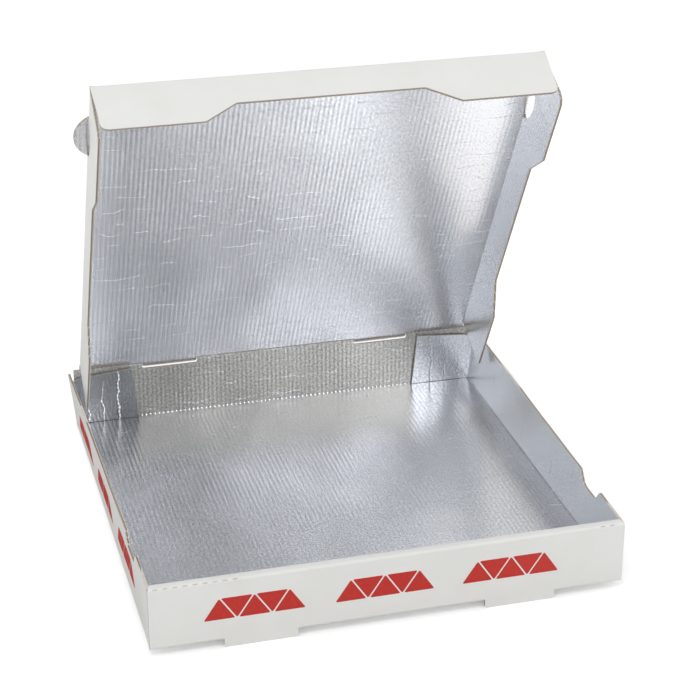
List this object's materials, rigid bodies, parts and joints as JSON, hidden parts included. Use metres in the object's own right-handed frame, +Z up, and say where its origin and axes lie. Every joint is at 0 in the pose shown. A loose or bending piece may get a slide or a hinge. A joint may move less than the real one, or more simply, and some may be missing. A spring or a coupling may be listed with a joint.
{
  "type": "pizza box",
  "caption": "Flat square take-away box folded from fluted board, lined with foil, with a flanged lid that hinges on the top of its back wall.",
  "frame": {"origin": "centre of the footprint, under the lower edges of the two front feet", "axes": "+X across the front, from the left side wall to the right; +Y from the front wall to the hinge at the back; +Z up. The lid is open by 60.5 degrees at rest."},
  "size_m": [0.309, 0.3082, 0.3041],
  "materials": {
    "board": "smooth white coated paper on fine fluted board",
    "foil": "foil laminated to the inside of the board, glossy, ribbed by the flutes",
    "core": "brown-grey cut edge with flutes showing",
    "print": "red ink printed on the outer paper"
  },
  "bodies": {
    "tray": {"tray": "board"},
    "lid": {"lid": "board"}
  },
  "joints": [
    {"name": "lid_hinge", "type": "hinge", "parent": "tray", "child": "lid", "pos_m": [0, 0.15098, 0.0495], "axis": [-1, 0, 0], "range_deg": [-60.5, 119.5]}
  ]
}
